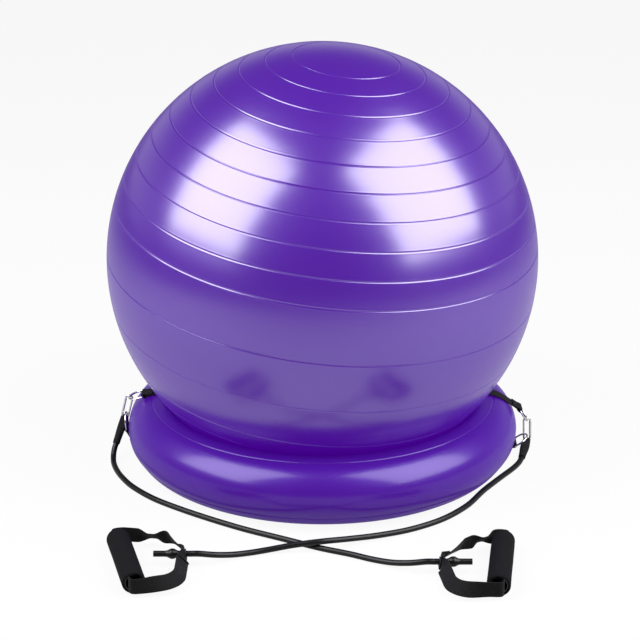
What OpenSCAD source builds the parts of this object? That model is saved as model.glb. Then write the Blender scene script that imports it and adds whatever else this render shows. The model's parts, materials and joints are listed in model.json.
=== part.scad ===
// Stability ball in an inflatable ring base, with two resistance bands.
// Each band is a latex tube with a foam-grip handle, held to a webbing
// strap round the ring by a spring hook and two D-rings.
// Millimetres. The origin is on the floor under the ball, +Z is up, the
// handles lie towards -Y. The left band's handle lies at the right, and
// the right band's at the left, because the tubes cross in front.

/* [Ball] */
// Diameter of the inflated ball
ball_d = 650; // [560:5:700]
// How far the ball flattens on the floor
ball_sag = 7; // [3:0.5:12]
// Thickness of the ball's skin
ball_skin = 1.2; // [0.8:0.1:2.5]
// Tilt of the ball's pole from straight up, in degrees
pole_tilt = 9; // [0:1:20]
// Compass direction that the pole leans towards, in degrees
pole_lean = -45; // [-180:5:180]
// Angle from the pole to the first groove
cap_angle = 14; // [12:0.5:18]
// Angle between neighbouring fine grooves
fine_step = 7.1; // [6:0.1:8]
// Angle across each wide band at the middle
wide_step = 14.4; // [12:0.1:16]
// Depth of a groove
groove_depth = 1.4; // [0.6:0.1:2]
// Radius of a groove's rounded bottom
groove_r = 2.4; // [2.2:0.1:4]

/* [Air valves] */
// Diameter of a valve's flange in the wall
valve_d = 24; // [20:1:34]
// How far a valve's seat reaches inwards
valve_len = 14; // [10:1:20]
// Diameter of an air plug's stem
plug_d = 8; // [6:0.5:11]
// Length of an air plug's stem
plug_len = 11; // [6:1:13]
// Diameter of an air plug's head
plug_head_d = 14; // [12:0.5:18]
// Thickness of an air plug's head
plug_head_t = 1.8; // [1:0.1:3]
// Gap round an air plug's stem
plug_fit = 0.08; // [0.05:0.01:0.1]

/* [Ring base] */
// Outer diameter of the inflated ring
ring_d = 602; // [560:2:640]
// Diameter of the ring's inflated tube
ring_tube_d = 100; // [90:1:120]
// How far the ring flattens on the floor
ring_sag = 1.5; // [1:0.1:4]
// Thickness of the ring's skin
ring_skin = 1.2; // [0.9:0.1:2.5]
// Gap between the ball and what it sits in
seat_gap = 0.4; // [0.3:0.05:1]
// Angles round the tube's section of the ring's two welds
upper_weld = 74; // [66:1:78]
lower_weld = -35; // [-50:1:-25]
// Depth of a weld line
weld_depth = 0.5; // [0.2:0.1:0.6]
// Radius of a weld line's rounded bottom
weld_r = 1; // [0.7:0.1:2]

/* [Straps] */
// Width of the strap webbing
strap_w = 25; // [20:1:28]
// Thickness of the strap webbing
strap_t = 1.6; // [1.2:0.1:2]
// Gap between a strap and what it touches
strap_gap = 0.4; // [0.4:0.05:0.6]
// Length of the sewn double end of a strap
sewn_len = 14; // [8:1:15]

/* [D-rings] */
// Diameter of the D-ring wire
d_wire = 3; // [2.4:0.1:3.4]
// Depth of a D-ring, from its bar to its bow, wire centres
d_depth = 23; // [21:0.5:26]
// Radius of the bend at each end of a D-ring's bar
d_corner = 2.5; // [2:0.1:3.5]

/* [Spring hooks] */
// Overall length of a spring hook
hook_len = 40; // [37:1:46]
// Overall width of a spring hook
hook_w = 13; // [12.6:0.2:15]
// Diameter of the hook's wire
hook_wire = 3; // [2.4:0.1:3.2]
// Diameter of the gate
gate_d = 3.8; // [3.4:0.1:4.2]
// Diameter of the gate's pivot pin
gate_pin_d = 1.2; // [1:0.1:1.3]
// Running gap round the pivot pin
pin_gap = 0.05; // [0.03:0.01:0.08]

/* [Resistance tubes] */
// Diameter of the latex tube
tube_d = 8.5; // [8:0.5:9]
// Largest diameter of the webbing boot over the tube's end
boot_d = 13.5; // [12.5:0.5:14.5]
// Wall of the boot at its mouth
boot_wall = 1.3; // [1:0.1:2]
// Diameter of the boot where it loops round the hook
boot_loop_d = 7.2; // [6.6:0.2:8]

/* [Handles] */
// Length of the foam grip
grip_len = 140; // [110:1:160]
// Diameter of the foam grip
grip_d = 33; // [31:0.5:38]
// Rounding of the foam grip's ends
grip_round = 3; // [1:0.5:3.5]
// Wall of the hard sleeve inside the foam
sleeve_wall = 1.2; // [0.8:0.1:2]
// Gap round the webbing inside the sleeve
sleeve_gap = 0.26; // [0.2:0.02:0.5]
// Width of the handle webbing
handle_w = 22; // [18:1:24]
// Thickness of the handle webbing
handle_t = 1.8; // [1.2:0.1:2]
// Distance from the tube's end to the grip's centre line
handle_reach = 78; // [70:1:90]
// Radius of the webbing's turn at each end of the grip
turn_r = 7; // [4:0.5:9]
// Free webbing between the grip's end and that turn
turn_gap = 4; // [2:0.5:8]
// Diameter of the eyelet's flange
eyelet_d = 14.4; // [13.4:0.2:17]
// Diameter of the bulge over the tube's stop ball
bulge_d = 14.6; // [13.5:0.2:17]
// Length of the tube's tail beyond the bulge's centre
tail_len = 26; // [16:1:30]

/* [Hidden] */
$fn = 96;
big = 2000;
tiny = 0.05;

ball_r = ball_d / 2;
ball_z = ball_r - ball_sag;
ring_tube_r = ring_tube_d / 2;
ring_r = ring_d / 2 - ring_tube_r;
ring_z = ring_tube_r - ring_sag;
strap_mid_r = ring_tube_r + strap_gap + strap_t / 2;
webbing_room = strap_t + strap_gap;

// Ball grooves, as angles from the pole: fine rings round the cap, wide
// bands at the middle, then fine rings again below.
fine_count = 10;
wide_count = 3;
belt_start = cap_angle + (fine_count - 1) * fine_step;
belt_end = belt_start + wide_count * wide_step;
last_groove = 155;
groove_angles = concat(
    [for (k = [0:fine_count - 1]) cap_angle + k * fine_step],
    [for (k = [1:wide_count]) belt_start + k * wide_step],
    [for (a = [belt_end + fine_step:fine_step:last_groove]) a]);

// Valves: on the ball's first wide band at the back, and on the back of
// the ring above its middle.
ball_valve_polar = belt_start + wide_step / 2;
ball_valve_turn = 135;
ring_valve_rise = 30;
valve_flange_t = 2;

// D-rings, whose bends start just outside the strap.
d_half = strap_w / 2 + d_corner;

// Spring hooks: half the distance between the centres of the two bends,
// and the radius of the wire's centre line there.
hook_bend = (hook_w - hook_wire) / 2;
hook_half = (hook_len - hook_w) / 2;
nose_len = 2;
tongue_t = 1;
tongue_w = 2.4;
touch = 0.3;

// Where the upper and lower D-rings cross the hook, from its centre.
upper_bow = hook_half + hook_bend - hook_wire / 2 - touch - d_wire / 2;
lower_bow = -hook_half - hook_bend + boot_loop_d / 2 + touch + d_wire / 2 + 2;

// Per side: hook centre from the ring tube's centre (out, up), lean of the
// hook's top towards the ball in degrees, and how far the D-ring bars
// stand from the tube's centre.
function side_room(extra) = ring_tube_r + extra;
left_hook_at = [side_room(2.5), 26.5];
left_hook_lean = 14;
left_bar_r = side_room(4.5);
right_hook_at = [side_room(18.5), -11.5];
right_hook_lean = 2;
right_bar_r = side_room(11);

// Bands: where each boot's mouth is, where each tube's handle starts, how
// many degrees each grip is turned from square to its tube, and how far it
// sits off the tube's line along its own length.
left_mouth = [-320, -28, 24];
right_mouth = [308, -46, 8];
grip_z = grip_d / 2;
left_band_handle_at = [166, -416, grip_z];
left_grip_turn = -7.5;
left_grip_shift = 8;
right_band_handle_at = [-194, -392, grip_z];
right_grip_turn = 14.5;
right_grip_shift = 0;

// Routes of the two tubes, from the boot's mouth to the handle.
left_route = [
    left_mouth, [-322.5, -35, 16.2], [-323, -45, 9.2], [-321, -60, 5.4], [-315, -82, 4.5],
    [-304, -110, 4.5], [-284, -146, 4.5], [-250, -187, 4.5], [-208, -223, 4.5],
    [-162, -257, 4.5], [-112, -290, 4.5], [-60, -319, 4.5], [-4, -350, 4.5],
    [38, -369, 4.5], [70, -386, 4.6], [96, -400, 7], [120, -411, 12],
    [142, -416, grip_z], [154, -416, grip_z], left_band_handle_at
];
right_route = [
    right_mouth, [303, -58, 5.5], [292, -78, 4.5], [268, -115, 4.5], [240, -160, 4.5],
    [212, -212, 4.5], [174, -257, 4.5], [128, -290, 4.6], [83, -311, 5.5], [40, -332, 10],
    [0, -350, 14.6], [-40, -353, 10.4], [-76, -358, 5.6], [-102, -366, 4.8], [-126, -376, 7],
    [-148, -386.5, 12], [-170, -392, grip_z], [-182, -392, grip_z], right_band_handle_at
];
rings_per_step = 2;
tube_sides = 10;

// Vectors.
function unit(v) = v / norm(v);
function azimuth(v) = atan2(v.y, v.x);
function fall(v) = atan2(norm([v.x, v.y]), v.z);

// Turns +Z to the direction v.
module along(v) { rotate([0, fall(v), azimuth(v)]) children(); }

// A rod of radius r and length len along Y, centred.
module y_rod(r, len) { rotate([90, 0, 0]) cylinder(r=r, h=len, center=true); }

// A torus, or part of one, round Z.
module torus(big_r, small_r, turn=360) {
    rotate_extrude(angle=turn) translate([big_r, 0]) circle(r=small_r);
}

// A slab that takes away everything below z.
module below(z) { translate([0, 0, z - big / 2]) cube(big, center=true); }

// Smooth curve through points p: Catmull-Rom, step i, share t.
function point_at(p, i) =
    i < 0 ? 2 * p[0] - p[1] :
    i > len(p) - 1 ? 2 * p[len(p) - 1] - p[len(p) - 2] : p[i];
function curve(p, i, t) =
    let (a = point_at(p, i - 1), b = point_at(p, i), c = point_at(p, i + 1), d = point_at(p, i + 2))
    0.5 * (2 * b + (c - a) * t + (2 * a - 5 * b + 4 * c - d) * t * t
        + (3 * b - a - 3 * c + d) * t * t * t);
function curve_points(p, n) = concat(
    [for (i = [0:len(p) - 2], k = [0:n - 1]) curve(p, i, k / n)], [p[len(p) - 1]]);

// Tangents along a line of points, with its two end directions given.
function tangents(q, first, last) = [for (i = [0:len(q) - 1])
    i == 0 ? first : i == len(q) - 1 ? last : unit(q[i + 1] - q[i - 1])];

// One ring of a swept tube.
function ring_points(c, t, r, n, side) =
    let (u = unit(cross(t, side)), v = cross(t, u))
    [for (k = [0:n - 1]) c + r * (cos(360 * k / n) * u + sin(360 * k / n) * v)];

// A tube of radius r and n sides along the points q.
module sweep(q, r, n, first, last, side) {
    t = tangents(q, first, last);
    m = len(q);
    pts = [for (i = [0:m - 1]) each ring_points(q[i], t[i], r, n, side)];
    walls = [for (i = [0:m - 2], k = [0:n - 1])
        [i * n + k, i * n + (k + 1) % n, (i + 1) * n + (k + 1) % n, (i + 1) * n + k]];
    ends = [[for (k = [n - 1:-1:0]) k], [for (k = [0:n - 1]) (m - 1) * n + k]];
    polyhedron(points=pts, faces=concat(walls, ends), convexity=10);
}

// ---- Ball ----

module ball_frame() {
    translate([0, 0, ball_z]) rotate([0, 0, pole_lean]) rotate([0, pole_tilt, 0]) children();
}

module groove_rings(r) {
    at = ball_r - groove_depth + groove_r;
    for (a = groove_angles)
        translate([0, 0, at * cos(a)]) torus(at * sin(a), r);
}

module ball_valve_frame() {
    ball_frame() rotate([0, 0, ball_valve_turn]) rotate([0, ball_valve_polar, 0])
        translate([0, 0, ball_r]) children();
}

module ball_shell() {
    color("#6A45B4") difference() {
        ball_frame() sphere(r=ball_r);
        ball_frame() groove_rings(groove_r);
        below(0);
        difference() {
            ball_frame() sphere(r=ball_r - ball_skin);
            ball_frame() groove_rings(groove_r + ball_skin);
            below(ball_skin);
        }
        ball_valve_frame() cylinder(d=valve_d, h=4 * valve_len, center=true);
    }
}

// A valve's seat: a moulded flange in the wall with a socket for the plug.
module valve_seat(wall_r) {
    difference() {
        intersection() {
            translate([0, 0, -valve_len]) cylinder(d=valve_d, h=2 * valve_len);
            translate([0, 0, -wall_r]) sphere(r=wall_r);
        }
        translate([0, 0, -valve_len - 1]) difference() {
            cylinder(d=2 * valve_d, h=valve_len - valve_flange_t);
            cylinder(d=plug_d + 2 * valve_flange_t, h=valve_len);
        }
        translate([0, 0, -valve_len - tiny]) cylinder(d=plug_d + 2 * plug_fit, h=2 * valve_len);
        translate([0, 0, -plug_head_t / 2]) cylinder(d=plug_head_d + 2 * touch, h=valve_len);
    }
}

// An air plug: a stem and a round head sunk half into the seat.
module air_plug() {
    head = -plug_head_t / 2 + touch;
    translate([0, 0, head - plug_len]) cylinder(d=plug_d, h=plug_len + tiny);
    translate([0, 0, head]) cylinder(d=plug_head_d, h=plug_head_t);
}

module ball_valve_seat() { color("#5A3AA0") ball_valve_frame() valve_seat(ball_r); }
module ball_air_plug() { color("white") ball_valve_frame() air_plug(); }

// ---- Ring base ----

module ring_torus(r) { translate([0, 0, ring_z]) torus(ring_r, r); }

// The hollow that the ball presses, extra deeper all over.
module ball_seat(extra) { translate([0, 0, ball_z]) sphere(r=ball_r + seat_gap + extra); }

// Everything within the straps' channels, side wider on each side.
module strap_slab(side) { cube([big, strap_w + 2 * side, big], center=true); }

// The ring's space: skin is how far inside its surface the walls are.
module ring_space(skin) {
    difference() {
        ring_torus(ring_tube_r - skin);
        ball_seat(skin);
        below(skin);
        intersection() {
            strap_slab(strap_gap + skin);
            union() {
                ball_seat(webbing_room + skin);
                below(webbing_room + skin);
            }
        }
    }
}

module weld_line(a) {
    at = ring_tube_r + weld_r - weld_depth;
    translate([0, 0, ring_z + at * sin(a)]) torus(ring_r + at * cos(a), weld_r);
}

module ring_valve_frame() {
    translate([0, ring_r, ring_z]) rotate([ring_valve_rise - 90, 0, 0])
        translate([0, 0, ring_tube_r]) children();
}

module ring_shell() {
    color("#5B3FB0") difference() {
        ring_space(0);
        ring_space(ring_skin);
        weld_line(upper_weld);
        weld_line(lower_weld);
        ring_valve_frame() cylinder(d=valve_d, h=2 * valve_len, center=true);
    }
}

module ring_valve_seat() { color("#4E359A") ring_valve_frame() valve_seat(ring_tube_r); }
module ring_air_plug() { color("white") ring_valve_frame() air_plug(); }

// ---- Straps, D-rings and hooks: one side, at +X ----

// Point on the tube section's plane, from polar places round its centre.
function on_tube(r, a) = [r * cos(a), r * sin(a)];

// A place on the hook's centre line, from the tube's centre.
function on_hook(at, lean, along) = at + along * [-sin(lean), cos(lean)];

// Angle round the tube of a D-ring bar at radius bar_r whose bow is at bow.
function bar_angle(bow, bar_r, way) =
    let (d = norm(bow))
    azimuth(bow) + way * acos((d * d + bar_r * bar_r - d_depth * d_depth) / (2 * d * bar_r));

// Angle where a straight strap end leaves the tube towards that bar.
function leave_angle(a, bar_r, way) = a + way * acos(strap_mid_r / bar_r);

left_bows = [on_hook(left_hook_at, left_hook_lean, upper_bow),
    on_hook(left_hook_at, left_hook_lean, lower_bow)];
right_bows = [on_hook(right_hook_at, right_hook_lean, upper_bow),
    on_hook(right_hook_at, right_hook_lean, lower_bow)];
left_bars = [bar_angle(left_bows[0], left_bar_r, 1), bar_angle(left_bows[1], left_bar_r, -1)];
right_bars = [bar_angle(right_bows[0], right_bar_r, 1), bar_angle(right_bows[1], right_bar_r, -1)];

// Moves to the section of the ring's tube at +X.
module at_section() { translate([ring_r, 0, ring_z]) children(); }

// The space inside a strap's loop round the tube, grown by extra.
module strap_space(extra) {
    difference() {
        at_section() y_rod(ring_tube_r + strap_gap + extra, strap_w);
        ball_seat(strap_t - extra);
        below(strap_t - extra);
    }
}

// A sewn end: from where it leaves the tube to the fold round the bar.
module strap_end(bar_a, bar_r, way) {
    leave = leave_angle(bar_a, bar_r, way);
    reach = sqrt(bar_r * bar_r - strap_mid_r * strap_mid_r);
    fold_r = d_wire / 2 + strap_gap;
    w = strap_w - 2 * tiny;
    rotate([0, -leave, 0]) translate([strap_mid_r, 0, 0]) scale([1, 1, -way]) difference() {
        union() {
            translate([-strap_t / 2 - tiny, -w / 2, -touch]) cube([strap_t + 2 * tiny, w, reach + touch]);
            translate([0, -w / 2, reach - fold_r - sewn_len]) cube([1.5 * strap_t, w, sewn_len]);
            translate([0, 0, reach]) y_rod(fold_r + strap_t, w);
        }
        translate([0, 0, reach]) y_rod(fold_r, 2 * strap_w);
    }
}

module strap(bars, bar_r) {
    upper = leave_angle(bars[0], bar_r, 1);
    lower = leave_angle(bars[1], bar_r, -1);
    difference() {
        strap_space(strap_t);
        strap_space(0);
        at_section() intersection() {
            rotate([0, -upper, 0]) translate([-big / 2, -big / 2, -big]) cube(big);
            rotate([0, -lower, 0]) translate([-big / 2, -big / 2, 0]) cube(big);
        }
    }
    at_section() strap_end(bars[0], bar_r, 1);
    at_section() strap_end(bars[1], bar_r, -1);
}

// A D-ring from the place of its bar to the place of its bow.
module d_ring(bar, bow) {
    way = bow - bar;
    leg_end = d_depth - d_half;
    at_section() translate([bar.x, 0, bar.y]) rotate([0, -azimuth(way), 0]) {
        y_rod(d_wire / 2, 2 * (d_half - d_corner));
        for (s = [0, 1]) mirror([0, s, 0]) {
            translate([d_corner, d_half - d_corner, 0]) rotate([0, 0, 90])
                torus(d_corner, d_wire / 2, 90);
            translate([d_corner, d_half, 0]) rotate([0, 90, 0])
                cylinder(d=d_wire, h=leg_end - d_corner);
        }
        translate([leg_end, 0, 0]) rotate([0, 0, -90]) torus(d_half, d_wire / 2, 180);
    }
}

module at_hook(at, lean) { at_section() translate([at.x, 0, at.y]) rotate([0, -lean, 0]) children(); }

// The hook's bent wire, of radius r: both bends and the inner leg.
module hook_loop(r) {
    translate([0, 0, hook_half]) rotate([90, 0, 0]) torus(hook_bend, r, 180);
    translate([0, 0, -hook_half]) rotate([-90, 0, 0]) torus(hook_bend, r, 180);
    translate([-hook_bend, 0, -hook_half]) cylinder(r=r, h=2 * hook_half);
}

// The hook's body: the wire, its nose, and the tongue that holds the pin.
module hook_body() {
    tongue_len = gate_d / 2 + 2 * touch;
    difference() {
        union() {
            difference() {
                hook_loop(hook_wire / 2);
                translate([hook_bend, 0, -hook_half]) sphere(r=gate_d / 2 + touch);
            }
            translate([hook_bend, 0, hook_half - nose_len]) cylinder(d=hook_wire, h=nose_len);
            translate([hook_bend, 0, -hook_half - tongue_len / 2])
                cube([tongue_w, tongue_t, tongue_len], center=true);
            translate([hook_bend, 0, -hook_half]) y_rod(tongue_w / 2, tongue_t);
        }
        translate([hook_bend, 0, -hook_half]) y_rod(gate_pin_d / 2 + pin_gap, gate_d);
    }
}

// Length of the gate, from its pin to its tip under the nose.
gate_len = 2 * hook_half - nose_len - touch;
gate_bore = gate_d - 1.4;
spring_len = 9;
spring_at = gate_d / 2 + touch;

module hook_gate() {
    translate([hook_bend, 0, -hook_half]) difference() {
        union() {
            cylinder(d=gate_d, h=gate_len);
            sphere(d=gate_d);
        }
        cube([2 * gate_d, tongue_t + touch, gate_d + touch], center=true);
        y_rod(gate_pin_d / 2, 2 * gate_d);
        translate([0, 0, spring_at - tiny]) cylinder(d=gate_bore, h=spring_len + 2 * tiny);
    }
}

module gate_pin() { translate([hook_bend, 0, -hook_half]) y_rod(gate_pin_d / 2, gate_d - tiny); }

// The coil spring inside the gate.
spring_turns = 6;
spring_steps = 10;
spring_wire = 0.4;
module gate_spring() {
    n = spring_turns * spring_steps;
    r = gate_bore / 2 - spring_wire / 2 - tiny;
    rise = spring_len - spring_wire - 2 * tiny;
    q = [for (i = [0:n]) [r * cos(360 * i / spring_steps), r * sin(360 * i / spring_steps),
        spring_wire / 2 + tiny + rise * i / n]];
    translate([hook_bend, 0, -hook_half + spring_at])
        sweep(q, spring_wire / 2, 6, [0, 1, 0], [0, 1, 0], [0, 0, 1]);
}

// Everything of a side is built at +X; the left side is its mirror image.
module side(s) { scale([s, 1, 1]) children(); }

module left_strap() { color("#1D1A20") side(-1) strap(left_bars, left_bar_r); }
module right_strap() { color("#1D1A20") side(1) strap(right_bars, right_bar_r); }
module left_d_ring(k) { color("silver") side(-1) d_ring(on_tube(left_bar_r, left_bars[k]), left_bows[k]); }
module right_d_ring(k) { color("silver") side(1) d_ring(on_tube(right_bar_r, right_bars[k]), right_bows[k]); }
module left_hook() { side(-1) at_hook(left_hook_at, left_hook_lean) children(); }
module right_hook() { side(1) at_hook(right_hook_at, right_hook_lean) children(); }

// ---- Bands ----

// The bottom of a hook's wire, where the boot loops round it.
function hook_foot(at, lean, s) =
    let (p = on_hook(at, lean, -hook_half - hook_bend))
    [s * (ring_r + p.x), 0, ring_z + p.y];
left_foot = hook_foot(left_hook_at, left_hook_lean, -1);
right_foot = hook_foot(right_hook_at, right_hook_lean, 1);
boot_bore = tube_d + 2 * touch;
boot_depth = 20;

// The webbing boot, from the hook's foot to its mouth.
module boot(foot, mouth) {
    way = mouth - foot;
    reach = norm(way);
    neck = boot_loop_d / 2;
    belly = boot_d / 2;
    lip = boot_bore / 2 + boot_wall;
    translate(foot) along(way) difference() {
        union() {
            sphere(r=neck);
            rotate_extrude() polygon([[0, 0], [neck, 0], [neck + 0.4, 4], [neck + 0.7, 17],
                [neck + 1, 20], [belly - 0.8, 25], [belly, 29], [belly - 0.3, 33],
                [lip + 0.6, 0.85 * reach], [lip, reach], [0, reach]]);
        }
        translate([0, 0, reach - boot_depth]) cylinder(d=boot_bore, h=boot_depth + 1);
    }
}

// The barbed plug in the tube's hidden end.
module end_plug(foot, mouth) {
    way = mouth - foot;
    hidden = boot_depth - touch;
    translate(mouth) along(-way) {
        cylinder(d=tube_d, h=hidden - 2);
        translate([0, 0, hidden - 2 - tiny]) cylinder(d1=tube_d, d2=tube_d - 3, h=2);
    }
}

module left_band_boot() {
    color("#241F28") difference() {
        boot(left_foot, left_mouth);
        left_hook() hook_loop(hook_wire / 2 + touch);
    }
}
module right_band_boot() {
    color("#241F28") difference() {
        boot(right_foot, right_mouth);
        right_hook() hook_loop(hook_wire / 2 + touch);
    }
}
module left_band_tube() {
    color("#1A181C") sweep(curve_points(left_route, rings_per_step), tube_d / 2, tube_sides,
        unit(left_mouth - left_foot), [1, 0, 0], [1, 1, 0]);
}
module right_band_tube() {
    color("#1A181C") sweep(curve_points(right_route, rings_per_step), tube_d / 2, tube_sides,
        unit(right_mouth - right_foot), [-1, 0, 0], [-1, 1, 0]);
}

// ---- Handles: local frame at the tube's end, +X towards the grip ----

sleeve_in = sqrt(pow(handle_w / 2, 2) + pow(handle_t / 2, 2)) + sleeve_gap;
sleeve_out = sleeve_in + sleeve_wall;
eyelet_t = 1;
eyelet_in = tube_d / 2 + touch;
eyelet_out = eyelet_in + 1;
yoke_x = -touch - eyelet_t - handle_t / 2;
yoke_back = yoke_x - 1.5 * handle_t;
yoke_r = 2.5;
yoke_flat = eyelet_d + 2 * touch;
bulge_x = 13;
stop_ball_r = bulge_d / 2 - 2.3;

// A webbing loop is a belt round six posts, [x, y, radius of its middle]:
// two past the grip's ends, two shoulders and two at the yoke.
post_y = grip_len / 2 + turn_gap;
function turned(p, a) = [p.x * cos(a) - p.y * sin(a), p.x * sin(a) + p.y * cos(a)];
function grip_post(turn, shift, s) =
    let (p = turned([handle_reach - turn_r, shift + s * post_y], turn))
    [p.x, p.y, turn_r];
function shoulder(x, y, r) = [x * handle_reach, y * post_y, r];
function yoke_post(s) = [yoke_x + yoke_r, s * yoke_flat / 2, yoke_r];
left_loop = [
    grip_post(left_grip_turn, left_grip_shift, -1), grip_post(left_grip_turn, left_grip_shift, 1),
    shoulder(0.46, 0.62, 10), yoke_post(1), yoke_post(-1), shoulder(0.44, -0.7, 30)
];
right_loop = [
    grip_post(right_grip_turn, right_grip_shift, -1), grip_post(right_grip_turn, right_grip_shift, 1),
    shoulder(0.39, 0.76, 32), yoke_post(1), yoke_post(-1), shoulder(0.38, -0.49, 16)
];
loop_steps = 10;

// Outward angle of the belt's straight run from post a to post b.
function run_angle(a, b) =
    let (d = [b.x - a.x, b.y - a.y])
    azimuth(d) - acos((a.z - b.z) / norm(d));

// The belt's outline, moved outwards by off.
function belt(posts, off) = [for (i = [0:len(posts) - 1])
    let (n = len(posts), p = posts[i],
        a = run_angle(posts[(i + n - 1) % n], p),
        b = run_angle(p, posts[(i + 1) % n]),
        sweep_a = (b - a + 720) % 360)
    for (k = [0:loop_steps])
        let (t = a + sweep_a * k / loop_steps)
        [p.x + (p.z + off) * cos(t), p.y + (p.z + off) * sin(t)]];

module webbing_loop(posts) {
    difference() {
        union() {
            difference() {
                linear_extrude(height=handle_w, center=true) polygon(belt(posts, handle_t / 2));
                linear_extrude(height=2 * handle_w, center=true) polygon(belt(posts, -handle_t / 2));
            }
            translate([yoke_back, -yoke_flat / 2, -handle_w / 2])
                cube([handle_t + tiny, yoke_flat, handle_w]);
        }
        rotate([0, 90, 0]) cylinder(r=eyelet_out, h=8 * handle_t, center=true);
    }
}

module eyelet() {
    front = yoke_x + handle_t / 2;
    far = yoke_back - eyelet_t;
    rotate([0, 90, 0]) difference() {
        union() {
            translate([0, 0, far]) cylinder(r=eyelet_out, h=front - far + eyelet_t);
            translate([0, 0, far]) cylinder(d=eyelet_d, h=eyelet_t);
            translate([0, 0, front]) cylinder(d=eyelet_d, h=eyelet_t);
        }
        cylinder(r=eyelet_in, h=20 * handle_t, center=true);
    }
}

module tube_tail() {
    rotate([0, 90, 0]) difference() {
        union() {
            cylinder(d=tube_d, h=bulge_x + tail_len);
            translate([0, 0, bulge_x]) sphere(d=bulge_d);
        }
        below(tiny);
        translate([0, 0, bulge_x]) sphere(r=stop_ball_r + touch);
        translate([0, 0, bulge_x + bulge_d / 2 + 2]) cylinder(d=tube_d / 2, h=tail_len);
    }
}

module stop_ball() { translate([bulge_x, 0, 0]) sphere(r=stop_ball_r); }

// Sleeve and grip, along Z.
module sleeve() {
    difference() {
        cylinder(r=sleeve_out, h=grip_len - grip_round, center=true);
        cylinder(r=sleeve_in, h=grip_len, center=true);
    }
}

module foam_grip() {
    half = grip_len / 2;
    difference() {
        union() {
            cylinder(d=grip_d, h=grip_len - 2 * grip_round, center=true);
            cylinder(d=grip_d - 2 * grip_round, h=grip_len, center=true);
            for (s = [-1, 1]) translate([0, 0, s * (half - grip_round)])
                torus(grip_d / 2 - grip_round, grip_round);
        }
        cylinder(r=sleeve_out, h=2 * grip_len, center=true);
    }
}

module left_handle() { translate(left_band_handle_at) children(); }
module right_handle() { translate(right_band_handle_at) rotate(180) children(); }
module on_grip(turn, shift) {
    rotate(turn) translate([handle_reach, shift, 0]) rotate([90, 0, 0]) children();
}
module left_grip() { left_handle() on_grip(left_grip_turn, left_grip_shift) children(); }
module right_grip() { right_handle() on_grip(right_grip_turn, right_grip_shift) children(); }

ball_shell();
ball_valve_seat();
ball_air_plug();
ring_shell();
ring_valve_seat();
ring_air_plug();
left_strap();
right_strap();
left_d_ring(0);  // left_upper_d_ring
left_d_ring(1);  // left_lower_d_ring
right_d_ring(0);  // right_upper_d_ring
right_d_ring(1);  // right_lower_d_ring
color("silver") left_hook() hook_body();  // left_hook_body
color("silver") left_hook() hook_gate();  // left_hook_gate
color("gray") left_hook() gate_pin();  // left_gate_pin
color("gray") left_hook() gate_spring();  // left_gate_spring
color("silver") right_hook() hook_body();  // right_hook_body
color("silver") right_hook() hook_gate();  // right_hook_gate
color("gray") right_hook() gate_pin();  // right_gate_pin
color("gray") right_hook() gate_spring();  // right_gate_spring
left_band_boot();
color("gray") end_plug(left_foot, left_mouth);  // left_band_end_plug
left_band_tube();
color("#1D1A20") left_handle() webbing_loop(left_loop);  // left_band_webbing
color("#3A383D") left_handle() eyelet();  // left_band_eyelet
color("#1A181C") left_handle() tube_tail();  // left_band_tail
color("white") left_handle() stop_ball();  // left_band_stop_ball
color("gray") left_grip() sleeve();  // left_band_sleeve
color("#2A2830") left_grip() foam_grip();  // left_band_foam_grip
right_band_boot();
color("gray") end_plug(right_foot, right_mouth);  // right_band_end_plug
right_band_tube();
color("#1D1A20") right_handle() webbing_loop(right_loop);  // right_band_webbing
color("#3A383D") right_handle() eyelet();  // right_band_eyelet
color("#1A181C") right_handle() tube_tail();  // right_band_tail
color("white") right_handle() stop_ball();  // right_band_stop_ball
color("gray") right_grip() sleeve();  // right_band_sleeve
color("#2A2830") right_grip() foam_grip();  // right_band_foam_grip
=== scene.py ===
# %% [markdown]
# # A stability ball in its ring base
# The object is a ribbed PVC exercise ball that sits in an inflated ring. Two
# latex tubes with foam handles are clipped to straps round the ring. The
# solid model is loaded as a fixed frame, and this script dresses it: soft
# parts are modelled again as meshes, and metal parts keep their solids.

# %% Load the frame
import json
from math import acos, atan2, ceil, cos, degrees, exp, hypot, pi, radians, sin, sqrt

import bmesh
import bpy
from mathutils import Matrix, Vector
from mathutils.noise import noise


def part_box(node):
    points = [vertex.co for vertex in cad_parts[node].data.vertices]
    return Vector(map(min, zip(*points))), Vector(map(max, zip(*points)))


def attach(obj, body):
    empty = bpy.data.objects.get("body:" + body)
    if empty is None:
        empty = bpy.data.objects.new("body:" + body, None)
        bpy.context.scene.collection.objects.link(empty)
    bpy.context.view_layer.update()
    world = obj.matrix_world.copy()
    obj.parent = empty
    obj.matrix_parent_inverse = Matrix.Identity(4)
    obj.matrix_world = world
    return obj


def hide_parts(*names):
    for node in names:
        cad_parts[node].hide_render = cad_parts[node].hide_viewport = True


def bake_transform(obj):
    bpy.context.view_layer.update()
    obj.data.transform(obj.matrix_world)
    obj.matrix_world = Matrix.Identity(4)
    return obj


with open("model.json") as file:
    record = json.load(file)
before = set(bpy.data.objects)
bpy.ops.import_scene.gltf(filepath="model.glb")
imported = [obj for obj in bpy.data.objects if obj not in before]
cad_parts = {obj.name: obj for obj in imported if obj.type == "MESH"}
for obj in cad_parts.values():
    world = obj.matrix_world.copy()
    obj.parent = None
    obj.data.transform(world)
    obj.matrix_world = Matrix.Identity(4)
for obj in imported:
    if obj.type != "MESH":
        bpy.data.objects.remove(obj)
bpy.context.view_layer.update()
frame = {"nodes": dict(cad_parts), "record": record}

joints = {joint["name"]: joint for joint in frame["record"]["behaviour"]["joints"]}
mm = 0.001

# %% [markdown]
# ## Camera
# The camera stands about three metres away and a little above the ball, with
# a long lens, as for a product on a white sweep. A long lens keeps the ball
# round and the handles in proportion.

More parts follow.
